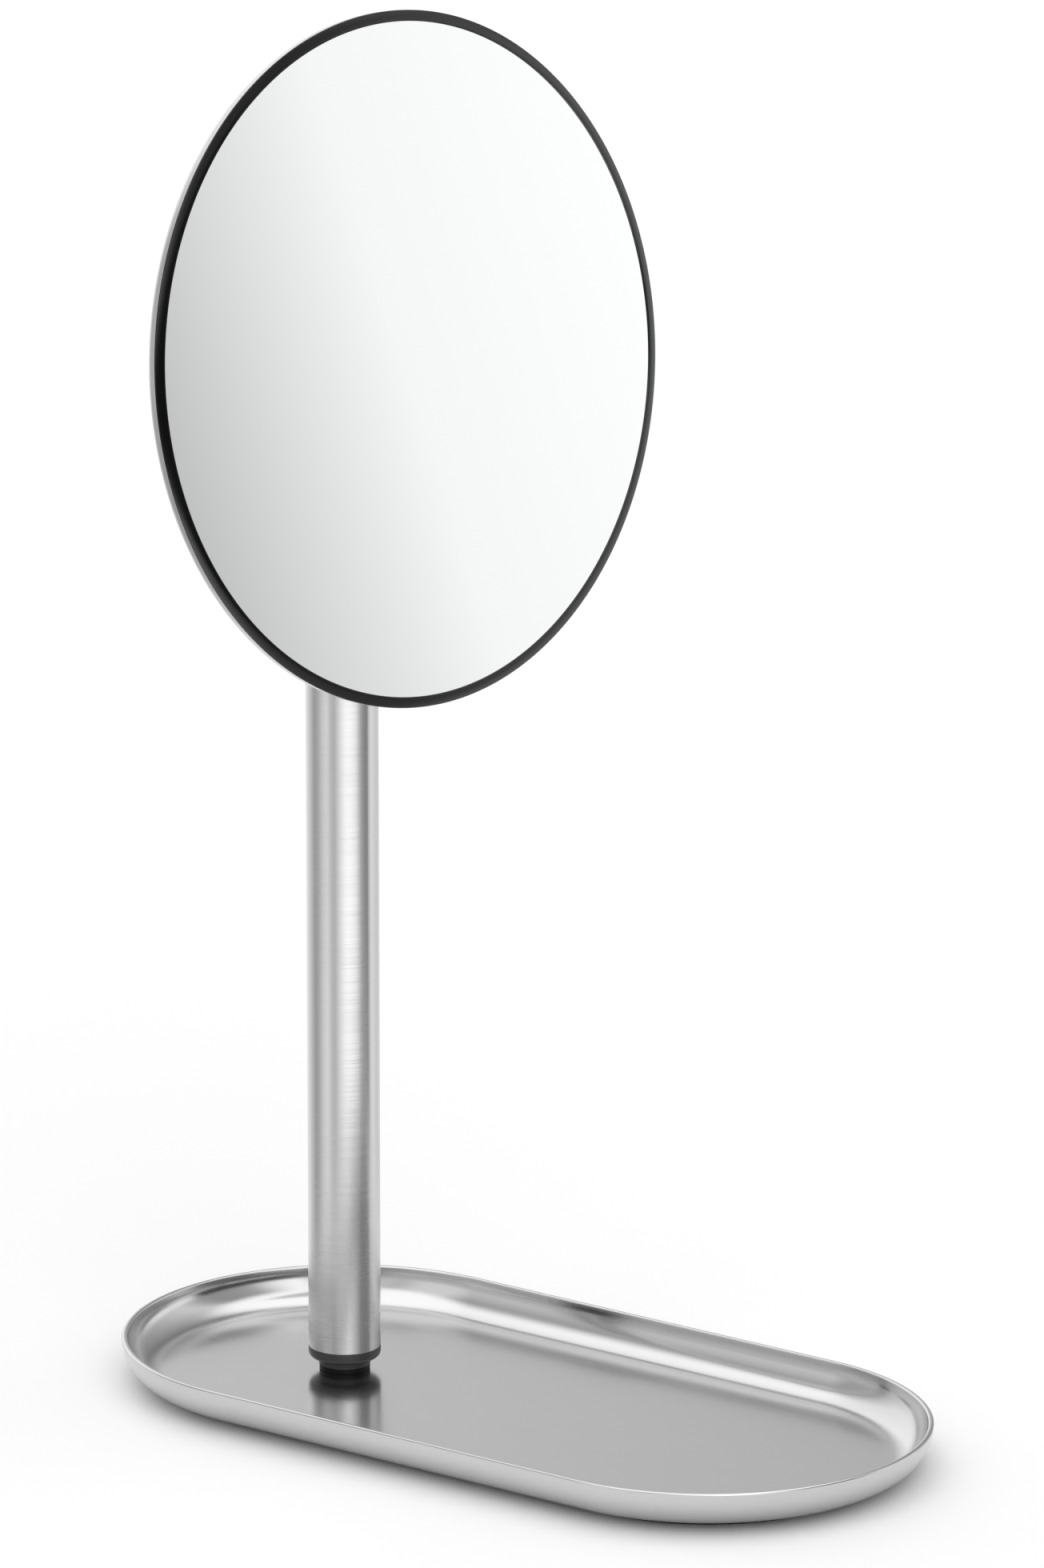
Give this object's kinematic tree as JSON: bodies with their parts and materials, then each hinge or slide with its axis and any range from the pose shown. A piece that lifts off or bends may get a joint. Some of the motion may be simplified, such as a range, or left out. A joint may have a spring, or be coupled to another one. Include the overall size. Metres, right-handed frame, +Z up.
{
  "type": "free-standing cosmetic mirror",
  "caption": "Round tilting mirror on a swivelling steel column that stands in an oval tray base, for shaving or make-up on a shelf or worktop.",
  "frame": {"origin": "centre of the flat rest face under the tray, on the surface that the mirror stands on", "axes": "+Z up; the tray's long side lies along Y with the column near its +Y end; the mirror looks towards -Y, turned 8 degrees towards -X and leaning back 9 degrees at rest"},
  "size_m": [0.1674, 0.222, 0.3493],
  "materials": {
    "brushed_stainless_tray": "brushed",
    "brushed_stainless_tube": "brushed",
    "brushed_stainless_shell": "brushed",
    "satin_zinc_casting": "satin",
    "zinc_plated_steel": "satin",
    "black_abs": "satin",
    "black_nylon": "matte",
    "nylon_lock_ring": "matte",
    "grey_abs": "matte",
    "eva_foam_pad": "matte",
    "acrylic_foam_tape": "matte",
    "silver_coat": "polished",
    "mirror_glass": "polished"
  },
  "bodies": {
    "base": {"tray": "brushed_stainless_tray", "anti_slip_pad": "eva_foam_pad", "floor_washer": "black_nylon", "neck_spacer": "black_nylon", "swivel_bolt": "zinc_plated_steel", "swivel_spring": "zinc_plated_steel", "swivel_washer": "zinc_plated_steel", "swivel_nut": "zinc_plated_steel", "swivel_nut_insert": "nylon_lock_ring"},
    "column": {"lower_plug": "black_abs", "column_tube": "brushed_stainless_tube", "hinge_post": "black_abs", "friction_washers": "black_nylon"},
    "mirror_head": {"hinge_bracket": "satin_zinc_casting", "hinge_bolt": "zinc_plated_steel", "hinge_washers": "zinc_plated_steel", "hinge_nut": "zinc_plated_steel", "hinge_nut_insert": "nylon_lock_ring", "bracket_screws": "zinc_plated_steel", "rear_shell": "brushed_stainless_shell", "backing_plate": "grey_abs", "adhesive_pads": "acrylic_foam_tape", "silver_backing": "silver_coat", "mirror_glass": "mirror_glass", "bezel_ring": "black_abs"}
  },
  "joints": [
    {"name": "column_swivel", "type": "hinge", "parent": "base", "child": "column", "pos_m": [0, 0.0555, 0.006], "axis": [0, 0, 1], "continuous": true},
    {"name": "mirror_tilt", "type": "hinge", "parent": "column", "child": "mirror_head", "pos_m": [0, 0.0555, 0.262], "axis": [-0.9903, 0.1392, 0], "range_deg": [-15, 36]}
  ]
}
